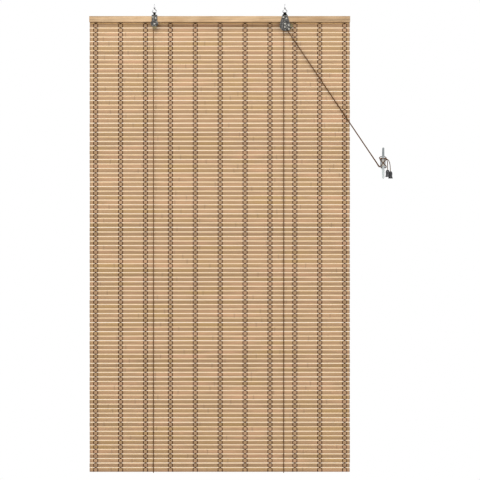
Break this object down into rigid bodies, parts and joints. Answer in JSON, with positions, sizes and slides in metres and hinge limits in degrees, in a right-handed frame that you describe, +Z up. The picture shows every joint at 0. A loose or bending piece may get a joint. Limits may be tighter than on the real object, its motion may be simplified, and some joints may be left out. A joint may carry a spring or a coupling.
{
  "type": "bamboo roll up blind",
  "caption": "Hanging blind of flat bamboo slats tied by warp threads, with a wooden head rail, ceiling hooks, lift cords over grooved wheels, a cord lock, bell knobs and a wall cleat.",
  "frame": {"origin": "on the ceiling plane, midway between the shanks of the two hooks", "axes": "+X along the head rail to the lock and cleat side, +Y from the room to the window, +Z up"},
  "size_m": [0.9315, 0.0499, 1.4401],
  "materials": {
    "bamboo": "satin, lengthwise grain",
    "rail_wood": "satin, lengthwise grain",
    "warp_thread": "matt twisted thread",
    "cord": "matt braided cord",
    "hook_metal": "bright plated",
    "hanger_steel": "dark satin",
    "aged_brass": "aged, satin",
    "bright_steel": "bright",
    "staple_wire": "bright",
    "cleat_metal": "satin plated",
    "knob_plastic": "half gloss"
  },
  "bodies": {
    "blind": {"ceiling_hooks": "hook_metal", "head_rail": "rail_wood", "slat_mat": "bamboo", "mat_staples": "staple_wire", "cord_staples": "staple_wire", "left_hanger": "hanger_steel", "right_hanger": "hanger_steel", "left_yoke": "aged_brass", "lock_back_plate": "aged_brass", "left_yoke_rivet": "bright_steel", "left_axle": "aged_brass", "upper_axle": "bright_steel", "lower_axle": "bright_steel", "cam_pivot": "bright_steel", "guide_post": "bright_steel", "hanger_screws": "bright_steel", "cleat": "cleat_metal", "cleat_screws": "bright_steel", "left_knob": "knob_plastic", "right_knob": "knob_plastic", "left_lift_cord": "cord", "right_lift_cord": "cord", "left_pull_cord": "cord", "right_pull_cord": "cord", "warp_thread_01": "warp_thread", "warp_thread_02": "warp_thread", "warp_thread_03": "warp_thread", "warp_thread_04": "warp_thread", "warp_thread_05": "warp_thread", "warp_thread_06": "warp_thread", "warp_thread_07": "warp_thread", "warp_thread_08": "warp_thread", "warp_thread_09": "warp_thread", "warp_thread_10": "warp_thread", "warp_thread_11": "warp_thread"},
    "left_wheel": {"left_wheel": "aged_brass"},
    "lower_wheel": {"lower_wheel": "aged_brass"},
    "upper_wheel": {"upper_wheel": "aged_brass"},
    "lock_cam": {"lock_cam": "aged_brass"}
  },
  "joints": [
    {"name": "left_wheel_spin", "type": "hinge", "parent": "blind", "child": "left_wheel", "pos_m": [-0.2, 0.0011, -0.0594], "axis": [0, 1, 0], "continuous": true},
    {"name": "lower_wheel_spin", "type": "hinge", "parent": "blind", "child": "lower_wheel", "pos_m": [0.2, 0.0011, -0.0594], "axis": [0, 1, 0], "continuous": true},
    {"name": "upper_wheel_spin", "type": "hinge", "parent": "blind", "child": "upper_wheel", "pos_m": [0.2, 0.0065, -0.0491], "axis": [0, 1, 0], "continuous": true},
    {"name": "lock_cam_pivot", "type": "hinge", "parent": "blind", "child": "lock_cam", "pos_m": [0.2117, 0.0038, -0.0534], "axis": [0, -1, 0], "range_deg": [0, 40]}
  ],
  "couplings": [
    {"joint": "lower_wheel_spin", "follows": "left_wheel_spin", "ratio": 1}
  ]
}
